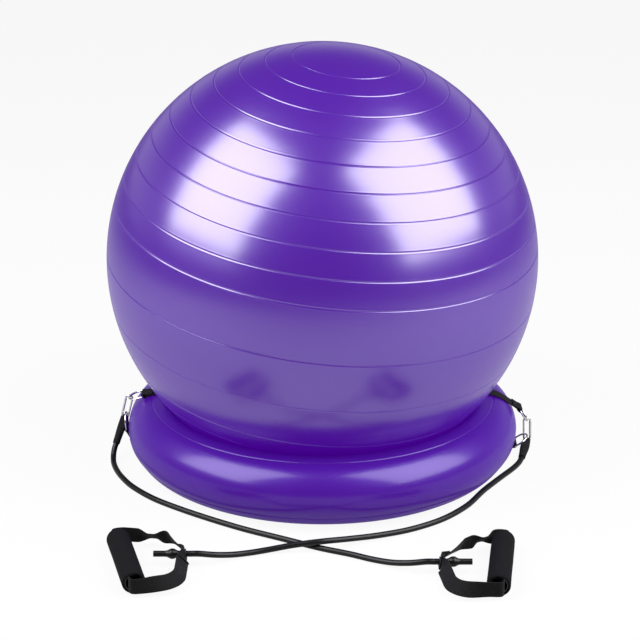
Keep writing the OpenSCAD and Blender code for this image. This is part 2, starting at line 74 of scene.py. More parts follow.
# %% Camera
camera = bpy.data.objects.new("camera", bpy.data.cameras.new("camera"))
bpy.context.scene.collection.objects.link(camera)
camera_back, camera_up, look_down = 2.8515, 1.25, 19.905  # metres, metres, degrees
camera.location = (0, -camera_back, camera_up)
camera.rotation_euler = (radians(90 - look_down), 0, 0)
camera.data.lens = 111.4
camera.data.sensor_width = 36
camera.data.shift_x = -0.00375
bpy.context.scene.camera = camera
print("camera at", tuple(camera.location), "lens", camera.data.lens)

# %% [markdown]
# ## Pieces from points
# Every soft piece here is a mesh made from points and faces. It could also
# be sculpted, but points worked out from real sizes stay exact. One function
# makes the object, turns all its faces outwards and shades it smooth.

# %% Make and mend a mesh
def edit_mesh(mesh, edit):
    """Run one bmesh edit on a mesh."""
    shell = bmesh.new()
    shell.from_mesh(mesh)
    edit(shell)
    shell.to_mesh(mesh)
    shell.free()


def add_piece(name, points, faces, places=None):
    """A smooth object; places are the corners of each face on the unrolled surface, in metres."""
    mesh = bpy.data.meshes.new(name)
    mesh.from_pydata([tuple(point) for point in points], [], faces)
    if places:
        flat = [value for corners in places for corner in corners for value in corner]
        mesh.uv_layers.new(name="metres").data.foreach_set("uv", flat)
    edit_mesh(mesh, lambda shell: bmesh.ops.recalc_face_normals(shell, faces=shell.faces))
    mesh.shade_smooth()
    piece = bpy.data.objects.new(name, mesh)
    bpy.context.scene.collection.objects.link(piece)
    return piece


def merge_ends(piece):
    """Join the first and last ring of a closed piece, which lie in the same place."""
    def join(shell):
        """Weld points that coincide."""
        bmesh.ops.remove_doubles(shell, verts=shell.verts, dist=0.001 * mm)
    edit_mesh(piece.data, join)


print("edit_mesh, add_piece and merge_ends are ready")

# %% [markdown]
# ## Skinning rings of points
# Most pieces here are a shape carried along a line: a tube, a strap, a ball
# turned about its axis. A bevelled curve could do part of this, but rings of
# points may change shape on the way. One function skins a list of rings with
# quads and writes a UV map in metres, so a weave keeps its real thread size.

# %% Skin a list of rings
def running_lengths(points):
    """How far each point lies along the line through them."""
    lengths = [0.0]
    for a, b in zip(points, points[1:]):
        lengths.append(lengths[-1] + (b - a).length)
    return lengths


def skin(name, rings):
    """A smooth piece through rings of points; a one-point ring closes an end with a fan."""
    points, first = [], []
    for ring in rings:
        first.append(len(points))
        points.extend(ring)
    widest = max(rings, key=len)
    around = running_lengths(widest + widest[:1])
    along = running_lengths([ring[0] for ring in rings])
    faces, places = [], []
    for i in range(len(rings) - 1):
        a, b, near, far = first[i], first[i + 1], along[i], along[i + 1]
        count = max(len(rings[i]), len(rings[i + 1]))
        for k in range(count):
            j = (k + 1) % count
            left, right = around[k], around[k + 1]
            if len(rings[i]) == 1:
                faces.append((a, b + j, b + k))
                places.append(((near, left), (far, right), (far, left)))
            elif len(rings[i + 1]) == 1:
                faces.append((a + k, a + j, b))
                places.append(((near, left), (near, right), (far, left)))
            else:
                faces.append((a + k, a + j, b + j, b + k))
                places.append(((near, left), (near, right), (far, right), (far, left)))
    return add_piece(name, points, faces, places)


def circle_ring(centre, u, v, radius, corners):
    """Points round a circle in the plane of u and v."""
    return [centre + radius * (cos(2 * pi * k / corners) * u + sin(2 * pi * k / corners) * v)
            for k in range(corners)]


print("skin and circle_ring are ready")

# %% [markdown]
# ## Smooth routes
# A flexible part follows one smooth line. A Bezier curve needs handles at
# each point. A Catmull-Rom curve passes through every given point without
# them, which makes it easy to lay a tube where it has to be.

# %% Smooth routes
def smooth_route(points, steps):
    """Catmull-Rom points through a route."""
    points = [Vector(p) for p in points]
    ends = [2 * points[0] - points[1]] + points + [2 * points[-1] - points[-2]]
    route = []
    for a, b, c, d in zip(ends, ends[1:], ends[2:], ends[3:]):
        for k in range(steps):
            t = k / steps
            route.append(0.5 * (2 * b + (c - a) * t + (2 * a - 5 * b + 4 * c - d) * t ** 2
                                + (3 * b - a - 3 * c + d) * t ** 3))
    return route + [points[-1]]


def directions(route):
    """Unit tangents along a route."""
    last = len(route) - 1
    return [(route[min(i + 1, last)] - route[max(i - 1, 0)]).normalized() for i in range(last + 1)]


def route_length(route):
    """Length of a route in metres."""
    return sum((b - a).length for a, b in zip(route, route[1:]))


def round_tube(name, route, radius, corners=28):
    """A round tube along a route, turned about itself as little as possible."""
    rings, side = [], None
    for point, tangent in zip(route, directions(route)):
        side = Vector((0, 0, 1)).cross(tangent) if side is None else side
        side = (side - tangent * side.dot(tangent)).normalized()
        rings.append(circle_ring(point, side, tangent.cross(side), radius, corners))
    return skin(name, [[route[0]]] + rings + [[route[-1]]])


print("a straight metre measures", round(route_length([Vector(), Vector((1, 0, 0))]), 3))

# %% [markdown]
# ## Latex tubes
# Each tube leaves its sewn boot, drops to the floor and runs in a loose curve
# to its handle. One tube passes over the other in a long low hump. A curve
# object could show them, but here each is a round mesh tube along a smooth
# route.

# %% Routes of the tubes
tube_radius = 4.25 * mm
left_route = [
    (-0.320, -0.028, 0.024), (-0.3225, -0.035, 0.0162), (-0.323, -0.045, 0.0092),
    (-0.321, -0.060, 0.0054), (-0.315, -0.082, 0.0045), (-0.304, -0.110, 0.0045),
    (-0.284, -0.146, 0.0045), (-0.250, -0.187, 0.0045), (-0.208, -0.223, 0.0045),
    (-0.162, -0.257, 0.0045), (-0.112, -0.290, 0.0045), (-0.060, -0.319, 0.0045),
    (-0.004, -0.350, 0.0045), (0.038, -0.369, 0.0045), (0.070, -0.386, 0.0046),
    (0.096, -0.400, 0.007), (0.120, -0.411, 0.012), (0.142, -0.416, 0.0165),
    (0.154, -0.416, 0.0165), (0.166, -0.416, 0.0165)]
right_route = [
    (0.308, -0.046, 0.008), (0.303, -0.058, 0.0055), (0.292, -0.078, 0.0045),
    (0.268, -0.115, 0.0045), (0.240, -0.160, 0.0045), (0.212, -0.212, 0.0045),
    (0.174, -0.257, 0.0045), (0.128, -0.290, 0.0046), (0.083, -0.311, 0.0055),
    (0.040, -0.332, 0.010), (0, -0.350, 0.0146), (-0.040, -0.353, 0.0104),
    (-0.076, -0.358, 0.0056), (-0.102, -0.366, 0.0048), (-0.126, -0.376, 0.007),
    (-0.148, -0.3865, 0.012), (-0.170, -0.392, 0.0165), (-0.182, -0.392, 0.0165),
    (-0.194, -0.392, 0.0165)]
routes = {"left": left_route, "right": right_route}
print("points:", len(left_route), "and", len(right_route))

# %% Latex tubes
tubes = {}
for hand, points in routes.items():
    route = smooth_route(points, 8)
    tube = round_tube(hand + "_latex_tube", route, tube_radius)
    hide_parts(hand + "_band_tube")
    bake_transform(tube)
    tubes[hand] = tube
    print(tube.name, "length", round(route_length(route), 3), "m")

# %% [markdown]
# ## Ball
# The ball is moulded from pearl PVC, and fine grooves ring it about a tilted
# pole: close rings on the caps, three wide bands round the middle. A profile
# turned about the pole gives every groove in one clean mesh. A pocket is cut
# for the air valve, and the underside is flat where it stands.

# %% Turned profile
def turned(name, profile, middle, axis, corners):
    """A surface turned about an axis, from points (distance from the axis, height along it)."""
    u = axis.orthogonal().normalized()
    v = axis.cross(u)
    on_axis = 0.001 * mm
    rings = [[middle + axis * height] if reach < on_axis else
             circle_ring(middle + axis * height, u, v, reach, corners)
             for reach, height in profile]
    return skin(name, rings)


valve_radius, valve_depth = 12 * mm, 24 * mm


def cut_pocket(piece, mouth, axis):
    """Cut a round pocket into a closed piece, for a valve that fills it."""
    profile = [(0, -valve_depth), (valve_radius, -valve_depth),
               (valve_radius, valve_depth), (0, valve_depth)]
    cutter = turned("cutter", profile, mouth, axis, 48)
    cut = piece.modifiers.new("pocket", "BOOLEAN")
    cut.object, cut.operation, cut.solver = cutter, "DIFFERENCE", "EXACT"
    graph = bpy.context.evaluated_depsgraph_get()
    carved = bpy.data.meshes.new_from_object(piece.evaluated_get(graph))
    piece.modifiers.clear()
    old, piece.data = piece.data, carved
    bpy.data.meshes.remove(old)
    bpy.data.objects.remove(cutter)
    piece.data.name = piece.name
    piece.data.shade_smooth()


def smooth_max(a, b, blend):
    """The larger of two lengths, rounded where they cross."""
    near = max(blend - abs(a - b), 0) / blend
    return max(a, b) + near * near * blend / 4


print("turned, cut_pocket and smooth_max are ready")

# %% Grooves of the ball
ball_low, ball_high = (Vector(corner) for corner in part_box("ball_shell"))
ball_radius = (ball_high.x - ball_low.x) / 2
ball_centre = Vector((0, 0, ball_high.z - ball_radius))
pole_tilt, pole_lean = radians(9), radians(-45)
pole = Vector((sin(pole_tilt) * cos(pole_lean), sin(pole_tilt) * sin(pole_lean), cos(pole_tilt)))
cap_angle, fine_step, wide_step = 14, 7.1, 14.4
groove_angles = [cap_angle + fine_step * k for k in range(10)]
groove_angles += [groove_angles[-1] + wide_step * k for k in (1, 2, 3)]
groove_angles += [groove_angles[-1] + fine_step * k for k in range(1, 5)]
groove_depth, groove_half_width = 0.6 * mm, 0.85 * mm


def groove_drop(arc, depth, half_width):
    """Depth of a moulded groove at a distance across it, with a soft lip on each side."""
    lip = 0.12 * depth * exp(-((abs(arc) - 2.4 * half_width) / half_width) ** 2)
    return depth * exp(-(arc / half_width) ** 2) - lip


print("grooves at", [round(angle, 1) for angle in groove_angles], "degrees from the pole")


# %% Ball skin
def ball_angles():
    """Angles from the pole, in degrees: even ones, and a close set over each groove."""
    steps = (0, 0.07, 0.14, 0.21, 0.28, 0.36, 0.46, 0.6, 0.85)
    angles = {0.0, 180.0}
    for groove in groove_angles:
        angles.update(groove + side * step for side in (-1, 1) for step in steps)
    plain_step, clear_of_groove = 1.5, 1.4
    for k in range(1, 120):
        if all(abs(plain_step * k - groove) > clear_of_groove for groove in groove_angles):
            angles.add(plain_step * k)
    return sorted(angles)


ball_profile = []
for angle in ball_angles():
    nearest = min(groove_angles, key=lambda groove: abs(groove - angle))
    arc = radians(angle - nearest) * ball_radius
    reach = ball_radius - groove_drop(arc, groove_depth, groove_half_width)
    ball_profile.append((reach * sin(radians(angle)), reach * cos(radians(angle))))
ball = turned("ball_skin", ball_profile, ball_centre, pole, 224)
floor_round = 1.5 * mm
for vertex in ball.data.vertices:
    vertex.co.z = smooth_max(vertex.co.z, 0, floor_round)
ball_valve_axis = Vector(joints["ball_plug_pull"]["axis"]).normalized()
cut_pocket(ball, ball_centre + ball_radius * ball_valve_axis, ball_valve_axis)
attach(ball, "ball")
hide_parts("ball_shell")
print("ball radius", round(ball_radius, 4), "vertices", len(ball.data.vertices))

# %% [markdown]
# ## Ring base
# The ring is an inflated PVC tube, welded from sheets along two lines. The
# ball presses a hollow into it and the straps press shallow channels. A
# circle carried round gives the tube, and each point is then pushed out of
# the ball, off the floor and clear of the straps.

# %% Surface of the ring
ring_high = Vector(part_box("ring_shell")[1])
ring_tube_radius = 50 * mm
ring_radius = ring_high.x - ring_tube_radius
ring_height = ring_high.z - ring_tube_radius
seat_gap, seat_round, webbing_room = 0.4 * mm, 5 * mm, 2.0 * mm
strap_width, strap_thickness = 25 * mm, 1.6 * mm
channel_side, channel_slope = 0.7 * mm, 1.5 * mm
weld_angles = (74, -35)
weld_depth, weld_half_width, weld_wander = 0.8 * mm, 1.1 * mm, 0.25 * mm
sink_depth, sink_pucker, sink_reach = 0.9 * mm, 0.35 * mm, 9 * mm
slow_waves, close_puckers = 6, 34  # how fast the noise changes round the ring


def round_noise(turn, pace, weld):
    """Smooth noise that closes on itself round the ring."""
    return noise(Vector((pace * cos(radians(turn)), pace * sin(radians(turn)), weld)))


def ring_point(turn, roll):
    """A point of the ring's skin: turn is round the ring, roll round its tube, in degrees."""
    swell = 0.0
    for weld in weld_angles:
        arc = radians((roll - weld + 180) % 360 - 180) * ring_tube_radius
        wander = weld_wander * round_noise(turn, slow_waves, weld)
        pucker = 0.5 + 0.5 * round_noise(turn, close_puckers, weld)
        swell -= groove_drop(arc + wander, weld_depth, weld_half_width)
        swell -= (sink_depth + sink_pucker * pucker) * exp(-(arc / sink_reach) ** 2)
    reach = ring_tube_radius + swell
    point = Vector((ring_radius + reach * cos(radians(roll)), 0,
                    ring_height + reach * sin(radians(roll))))
    point.rotate(Matrix.Rotation(radians(turn), 3, "Z"))
    beside = abs(point.y) - strap_width / 2 - channel_side
    channel = webbing_room * (1 - min(max(beside / channel_slope, 0), 1))
    away = point - ball_centre
    pressed = smooth_max(away.length, ball_radius + seat_gap + channel, seat_round)
    point = ball_centre + away * (pressed / away.length)
    point.z = smooth_max(point.z, channel, floor_round)
    return point


print("ring radius", round(ring_radius, 4), "height", round(ring_height, 4))

# %% Ring base
turns = {2.0 * k for k in range(180)}
for strap in (0, 180):
    turns.update((strap + 0.25 * k) % 360 for k in range(-20, 21))
rolls = {3.0 * k for k in range(-60, 60)}
for weld in weld_angles:
    rolls.update(weld + side * step for side in (-1, 1)
                 for step in (0, 0.5, 1, 1.5, 2, 2.6, 3.4, 4.2, 5))
rings = [[ring_point(turn, roll) for roll in sorted(rolls)] for turn in sorted(turns)]
ring = skin("ring_skin", rings + rings[:1])
merge_ends(ring)
ring_valve_axis = Vector(joints["ring_plug_pull"]["axis"]).normalized()
ring_valve = Vector((0, ring_radius, ring_height)) + ring_tube_radius * ring_valve_axis
cut_pocket(ring, ring_valve, ring_valve_axis)
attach(ring, "ring_base")
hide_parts("ring_shell")
print("turns", len(turns), "rolls", len(rolls), "vertices", len(ring.data.vertices))

# %% [markdown]
# ## Webbing
# Straps and loops are flat woven webbing with thick, rounded selvedges. A
# thickened plane would have sharp ones, so a rounded rectangle is carried
# along a line. The side direction may turn on the way, so a loop can lean or
# twist as real webbing does.

# %% Webbing ribbon
def ribbon_section(width, thickness):
    """Points round webbing, across its width and then through it, with round edges."""
    half, edge = width / 2 - thickness / 2, thickness / 2
    flat = [-half + 2 * half * k / 8 for k in range(9)]
    bend = [radians(90 - 30 * k) for k in range(1, 6)]
    section = [(x, edge) for x in flat]
    section += [(half + edge * cos(a), edge * sin(a)) for a in bend]
    section += [(x, -edge) for x in reversed(flat)]
    section += [(-half - edge * cos(a), -edge * sin(a)) for a in bend]
    return section


def ribbon(name, route, sides, width, thickness):
    """Webbing along a route; sides are the directions across its width."""
    section = ribbon_section(width, thickness)
    rings = []
    for point, tangent, side in zip(route, directions(route), sides):
        side = (side - tangent * side.dot(tangent)).normalized()
        normal = tangent.cross(side)
        rings.append([point + side * x + normal * y for x, y in section])
    return skin(name, [[route[0]]] + rings + [[route[-1]]])


def resampled(route, spacing):
    """The same line with points at even spacing."""
    count = max(int(route_length(route) / spacing), 2)
    step, even, walked = route_length(route) / count, [route[0]], 0.0
    for a, b in zip(route, route[1:]):
        length = (b - a).length
        while len(even) < count and walked + length >= step * len(even):
            even.append(a.lerp(b, (step * len(even) - walked) / length))
        walked += length
    return even + [route[-1]]


print("section points", len(ribbon_section(strap_width, strap_thickness)))

# %% [markdown]
# ## Stitches
# Sewn ends show bonded polyester thread. Bump alone would stay flat seen
# from the side, so each stitch is a short bead of thread that dips into the
# webbing at both ends. All the stitches on a piece are one mesh.

# %% Stitches
stitch_length, stitch_pitch, thread_radius, thread_corners = 2.2 * mm, 2.8 * mm, 0.32 * mm, 6
stitch_rings = [  # share of the length, share of the thread's radius, height in thread radii
    (-0.5, 0.35, -0.6), (-0.36, 0.85, 0.2), (-0.12, 1, 0.6),
    (0.12, 1, 0.6), (0.36, 0.85, 0.2), (0.5, 0.35, -0.6)]


def stitches(name, seams):
    """Beads of thread; a seam is a start, an end and the outward direction there."""
    points, faces, n = [], [], thread_corners
    for start, end, out in seams:
        run, way = (end - start).length, (end - start).normalized()
        across = way.cross(out).normalized()
        count = max(int(run / stitch_pitch), 1)
        for k in range(count):
            middle = start + way * (run * (k + 0.5) / count)
            first = len(points)
            for share, size, lift in stitch_rings:
                centre = middle + way * (share * stitch_length) + out * (lift * thread_radius)
                points.extend(circle_ring(centre, across, out, size * thread_radius, n))
            last = len(points) - n
            for a in range(first, last, n):
                faces += [(a + j, a + (j + 1) % n, a + n + (j + 1) % n, a + n + j)
                          for j in range(n)]
            faces.append(tuple(first + j for j in reversed(range(n))))
            faces.append(tuple(last + j for j in range(n)))
    return add_piece(name, points, faces)


def box_seam(corner, along, across, out):
    """A sewn box with a cross in it."""
    a, b = corner, corner + along
    c, d = b + across, corner + across
    return [(a, b, out), (b, c, out), (c, d, out), (d, a, out), (a, c, out), (b, d, out)]


print("stitch pitch", stitch_pitch, "m")

# %% [markdown]
# ## Ring straps
# A strap goes once round the ring's tube. Both ends run straight to a D-ring,
# fold round its bar and are sewn back on themselves. The line could be drawn
# by eye, but here it comes from the tube, the ball and the D-rings' pivots,
# so it lies tight on all of them.

# %% Sewn end of a strap
wrap_radius = ring_tube_radius + 0.4 * mm + strap_thickness / 2
bar_room, layer_gap = 1.9 * mm, 0.15 * mm
fold_radius = bar_room + strap_thickness / 2
sewn_length, seam_inset = 14 * mm, 2.4 * mm


def strap_end(bar, way):
    """A sewn end in the section's plane: its points from the cut edge to the tube, the angle
    at which it meets the tube, the ends of its seam and the direction away from the tube."""
    reach = sqrt(bar.length_squared - wrap_radius ** 2)
    leave = atan2(bar.y, bar.x) + way * acos(wrap_radius / bar.length)
    out = Vector((cos(leave), sin(leave)))
    along = way * Vector((sin(leave), -cos(leave)))
    double = strap_thickness + layer_gap
    cut = reach - bar_room - sewn_length
    # Each mark is a height over the under layer and a place along it: the upper layer comes first,
    # then the fold round the bar, then the way back down to the under layer.
    marks = [(double, cut), (double, cut + 4 * mm), (double, reach - 6.5 * mm),
             (1.25 * double, reach - 4 * mm), (fold_radius * 0.97, reach - 1.4 * mm)]
    marks += [(fold_radius * cos(radians(a)), reach + fold_radius * sin(radians(a)))
              for a in range(15, 180, 15)]
    marks += [(-fold_radius * 0.97, reach - 1.4 * mm), (-fold_radius * 0.7, reach - 3.6 * mm),
              (-fold_radius * 0.3, reach - 6.2 * mm), (0, reach - 9.5 * mm)]
    origin = out * wrap_radius
    points = [origin + out * height + along * run for height, run in marks]
    seam = [origin + out * (double + strap_thickness / 2) + along * run
            for run in (cut + 2.2 * mm, reach - 5.2 * mm)]
    return points, leave, seam, out


print("fold radius", round(fold_radius, 5), "m, sewn length", sewn_length, "m")


# %% Strap round the tube
def in_section(point, hand_sign):
    """A point of the tube's section, placed in the whole object."""
    return Vector((hand_sign * (ring_radius + point.x), 0, ring_height + point.y))


def pressed_strap_point(angle):
    """The strap's middle line round the tube, under the ball and over the floor."""
    point = wrap_radius * Vector((cos(angle), sin(angle)))
    centre = Vector((-ring_radius, ball_centre.z - ring_height))
    away = point - centre
    pressed = max(away.length, ball_radius + seat_gap + strap_thickness / 2)
    point = centre + away * (pressed / away.length)
    point.y = max(point.y, strap_thickness / 2 - ring_height)
    return point


print("the strap's middle line runs", round(wrap_radius, 4), "m from the tube's middle")

# %% Ring straps
straps = {}
for hand, hand_sign in (("left", -1), ("right", 1)):
    pivots = [Vector(joints[f"{hand}_{place}_d_swing"]["pos_m"]) for place in ("upper", "lower")]
    bars = [Vector((abs(pivot.x) - ring_radius, pivot.z - ring_height)) for pivot in pivots]
    upper, leave_up, upper_seam, upper_out = strap_end(bars[0], 1)
    lower, leave_down, lower_seam, lower_out = strap_end(bars[1], -1)
    span = leave_down + 2 * pi - leave_up
    steps = ceil(degrees(span) / 3)
    wrap = [pressed_strap_point(leave_up + span * k / steps) for k in range(steps + 1)]
    flat = upper + wrap + lower[::-1]
    route = resampled(smooth_route([in_section(p, hand_sign) for p in flat], 4), 1.2 * mm)
    for point in route:
        point.z = max(point.z, strap_thickness / 2)
    strap = ribbon(hand + "_strap_webbing", route, [Vector((0, 1, 0))] * len(route),
                   strap_width, strap_thickness)
    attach(strap, "ring_base")
    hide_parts(hand + "_strap")
    seams = []
    inset = Vector((0, seam_inset - strap_width / 2, 0))
    for (a, b), out in ((upper_seam, upper_out), (lower_seam, lower_out)):
        a, b = in_section(a, hand_sign), in_section(b, hand_sign)
        outward = Vector((hand_sign * out.x, 0, out.y))
        seams += box_seam(a + inset, b - a, -2 * inset, outward)
    thread = stitches(hand + "_strap_thread", seams)
    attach(thread, "ring_base")
    straps[hand] = (strap, thread)
    print(strap.name, "length", round(route_length(route), 4), "m")

# %% [markdown]
# ## Boots
# Each tube ends in a boot: webbing folded round the spring hook, with the
# tube's plugged end inside, sewn shut down both sides. It is flat where it
# loops round the wire and swells over the plug. One extruded shape can't do
# both, so a list of sections goes from a flat oval to a circle.

# %% Shape of a boot
def boot_section(across, thick, flatness, corners=32):
    """A ring of (across, thick) offsets: round, or squared off like folded webbing."""
    power = 2 / (2 + flatness)
    points = []
    for k in range(corners):
        c, s = cos(2 * pi * k / corners), sin(2 * pi * k / corners)
        points.append((across * abs(c) ** power * (1 if c >= 0 else -1),
                       thick * abs(s) ** power * (1 if s >= 0 else -1)))
    return points


# Millimetres from the hook's foot, half thickness, flatness, and the half widths of the left
# and right boot.
boot_shape = [
    (-3.9, 0.4, 0, 0.6, 0.6), (-3.7, 1.1, 1, 4.4, 4.2), (-3.0, 2.2, 1, 5.5, 5.0),
    (-1.5, 3.0, 1.5, 5.9, 5.5), (1.5, 3.2, 1.5, 6.1, 5.9), (6, 3.1, 1.4, 6.3, 6.3),
    (12, 3.8, 1.1, 6.4, 6.8), (18, 4.8, 0.8, 6.4, 7.1), (23, 5.6, 0.4, 6.3, 7.1),
    (28, 5.8, 0.2, 6.0, 6.8), (33, 5.7, 0.1, 5.8, 6.3), (38, 5.6, 0, 5.6, 5.8)]


def boot_size(place, side):
    """Half width, half thickness and flatness at a place along a boot, in mm from the foot."""
    for a, b in zip(boot_shape, boot_shape[1:]):
        if a[0] <= place <= b[0]:
            share = (place - a[0]) / (b[0] - a[0])
            return [a[k] + (b[k] - a[k]) * share for k in (3 + side, 1, 2)]


# Millimetres back from the mouth, radius: the rim rolls in, and the last ring is inside.
boot_mouth = ((3.0, 5.5), (0.6, 5.5), (0, 5.1), (0, 4.5), (6, 4.5))
folded_end, inner_end = 4 * mm, 7 * mm
# The feet of the hooks' wire, where the solid model has them: each boot folds round one.
hook_feet = {"left": Vector((-0.307976, 0, 0.05705)), "right": Vector((0.320146, 0, 0.018511))}
print("boot length", boot_shape[-1][0], "mm from the foot to the mouth's rim")

# %% Boots and their thread
seam_places, seam_share = [2 + 2.8 * k for k in range(10)], 0.66
boots = {}
for side, (hand, points) in enumerate(routes.items()):
    foot, mouth = hook_feet[hand], Vector(points[0])
    reach, way = (mouth - foot).length, (mouth - foot).normalized()
    across = (Vector((1, 0, 0)) - way * way.x).normalized()
    thick = way.cross(across)
    rings = []
    for place, *_ in boot_shape:
        rings.append([foot + way * place * mm + across * a * mm + thick * t * mm
                      for a, t in boot_section(*boot_size(place, side))])
    for back, radius in boot_mouth:
        rings.append(circle_ring(mouth - way * back * mm, across, thick, radius * mm, 32))
    boot = skin(hand + "_sewn_boot",
                [[foot - way * folded_end]] + rings + [[mouth - way * inner_end]])
    smooth = boot.modifiers.new("round", "SUBSURF")
    smooth.levels = smooth.render_levels = 1
    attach(boot, "ring_base")
    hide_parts(hand + "_band_boot")
    seams = []
    for face, edge in ((1, 1), (1, -1), (-1, 1), (-1, -1)):
        line = []
        for place in seam_places:
            size = boot_size(place, side)
            upper_half = boot_section(*size, 240)[:121]
            a, t = min(upper_half, key=lambda spot: abs(spot[0] - seam_share * size[0] * edge))
            line.append(foot + way * place * mm + across * a * mm + thick * face * t * mm)
        seams += [(a, b, thick * face) for a, b in zip(line, line[1:])]
    thread = stitches(hand + "_boot_thread", seams)
    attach(thread, "ring_base")
    boots[hand] = (boot, thread)
    print(boot.name, "length", round(reach, 4), "m")

# %% [markdown]
# ## Handle loops
# The webbing of a handle runs through the foam grip, round to the tube's end
# and overlaps itself there, where an eyelet takes the tube. It stands on its
# edge on the floor, leans at the eyelet and twists a little on the far side.
# A smooth curve would look like wire. A belt round six posts, in the handle's
# own frame, has the straight runs and tight bends of stiff webbing.

# %% Sizes of the handles
grip_length, grip_radius = 140 * mm, 16.5 * mm
loop_width, loop_thickness = 22 * mm, 1.8 * mm
handle_reach, turn_radius, post_y = 78 * mm, 7 * mm, 74 * mm
yoke_x, yoke_radius, yoke_half = -2.2 * mm, 2.5 * mm, 7.5 * mm
# Heading of the tube, turn of the grip from square to it and its shift, the side that twists,
# where the lean fades out, and where the twist begins, is full, is held to and ends.
handles = {
    "left": {"heading": 0, "turn": radians(-7.5), "shift": 8 * mm, "far_side": 1,
             "lean_fade": 54 * mm, "twist": (42 * mm, 56 * mm, 60 * mm, 76 * mm)},
    "right": {"heading": pi, "turn": radians(14.5), "shift": 0, "far_side": -1,
              "lean_fade": 34 * mm, "twist": (24 * mm, 42 * mm, 48 * mm, 68 * mm)}}
print("the grip lies", handle_reach, "m from the eyelet")


# %% Belt round posts
def grip_post(handle, end):
    """The post (x, y, radius) at one end of the grip."""
    x, y = handle_reach - turn_radius, handle["shift"] + end * post_y
    turn = handle["turn"]
    return x * cos(turn) - y * sin(turn), x * sin(turn) + y * cos(turn), turn_radius


def loop_posts(handle, far_shoulder, near_shoulder):
    """Six posts (x, y, radius), counter-clockwise; a shoulder's place is a share of the size."""
    shoulders = [(x * handle_reach, y * post_y, r * mm)
                 for x, y, r in (far_shoulder, near_shoulder)]
    yoke = [(yoke_x + yoke_radius, end * yoke_half, yoke_radius) for end in (1, -1)]
    return [grip_post(handle, -1), grip_post(handle, 1), shoulders[0]] + yoke + [shoulders[1]]


def belt(posts):
    """The middle line of a belt round posts."""
    def run_angle(a, b):
        """Angle on post a at which the straight run to post b leaves it."""
        x, y = b[0] - a[0], b[1] - a[1]
        return atan2(y, x) - acos((a[2] - b[2]) / hypot(x, y))
    line = []
    for i, (x, y, radius) in enumerate(posts):
        start = run_angle(posts[i - 1], posts[i])
        sweep = (run_angle(posts[i], posts[(i + 1) % len(posts)]) - start) % (2 * pi)
        steps = max(int(degrees(sweep) / 6), 3)
        for k in range(steps + 1):
            angle = start + sweep * k / steps
            line.append(Vector((x + radius * cos(angle), y + radius * sin(angle), 0)))
    return line


handles["left"]["posts"] = loop_posts(handles["left"], (0.46, 0.62, 10), (0.44, -0.7, 30))
handles["right"]["posts"] = loop_posts(handles["right"], (0.39, 0.76, 32), (0.38, -0.49, 16))
for hand, handle in handles.items():
    turn = Matrix.Rotation(handle["heading"], 4, "Z")
    handle["frame"] = Matrix.Translation(routes[hand][-1]) @ turn
    handle["line"] = belt(handle["posts"])
    print(hand, "loop length", round(route_length(handle["line"] + handle["line"][:1]), 3), "m")


# %% Lean of the webbing
def ease(value, start, end):
    """Smooth step from 0 at start to 1 at end."""
    t = min(max((value - start) / (end - start), 0), 1)
    return t * t * (3 - 2 * t)


eyelet_lean, shoulder_lean, most_twist = 12, 32, 50  # degrees


def lean_at(place, handle):
    """Lean of the webbing at a place in the handle's frame: degrees outwards at its bottom edge."""
    beside_tube = eyelet_lean + shoulder_lean * ease(abs(place.y), 7 * mm, 19 * mm)
    if place.y * handle["far_side"] > 0:
        begin, full, hold, end = handle["twist"]
        twist = most_twist * ease(place.x, begin, full) * (1 - ease(place.x, hold, end))
        return beside_tube * (1 - ease(place.x, 6 * mm, handle["lean_fade"])) + twist
    return beside_tube * (1 - ease(place.x, 8 * mm, 60 * mm))


def leaning_side(place, tangent, handle):
    """The direction across the webbing's width."""
    return Matrix.Rotation(-radians(lean_at(place, handle)), 3, tangent) @ Vector((0, 0, 1))


fold_depth = 7 * mm


def at_mouth(place, handle):
    """The webbing leaves the grip along the far wall of its bore, then folds back."""
    place.rotate(Matrix.Rotation(-handle["turn"], 3, "Z"))
    along = abs(place.y - handle["shift"])
    place.x += fold_depth * ease(along, 56 * mm, 70 * mm) * ease(place.x, 66 * mm, 76 * mm)
    place.rotate(Matrix.Rotation(handle["turn"], 3, "Z"))
    return place


print("lean at the eyelet:", lean_at(Vector(), handles["left"]), "degrees")

# %% Webbing of the handles
loops = {}
section = ribbon_section(loop_width, loop_thickness)
for hand, handle in handles.items():
    even = resampled(handle["line"] + handle["line"][:1], 2 * mm)[:-1]
    line = [at_mouth(place, handle) for place in even]
    rings = []
    for i, place in enumerate(line):
        tangent = (line[(i + 1) % len(line)] - line[i - 1]).normalized()
        side = leaning_side(place, tangent, handle)
        normal = tangent.cross(side)
        rings.append([handle["frame"] @ (place + side * x + normal * y) for x, y in section])
    loop = skin(hand + "_handle_webbing", rings + rings[:1])
    merge_ends(loop)
    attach(loop, hand + "_band_handle")
    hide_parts(hand + "_band_webbing")
    loops[hand] = [loop]
    print(loop.name, "points along", len(line))

# %% [markdown]
# ## Overlap at the eyelet
# The two ends of the loop overlap at the tube, so the webbing is double
# there. A thicker loop would hide the cut ends, so the outer layer is a short
# ribbon laid against the loop, with a row of stitches near each cut end.

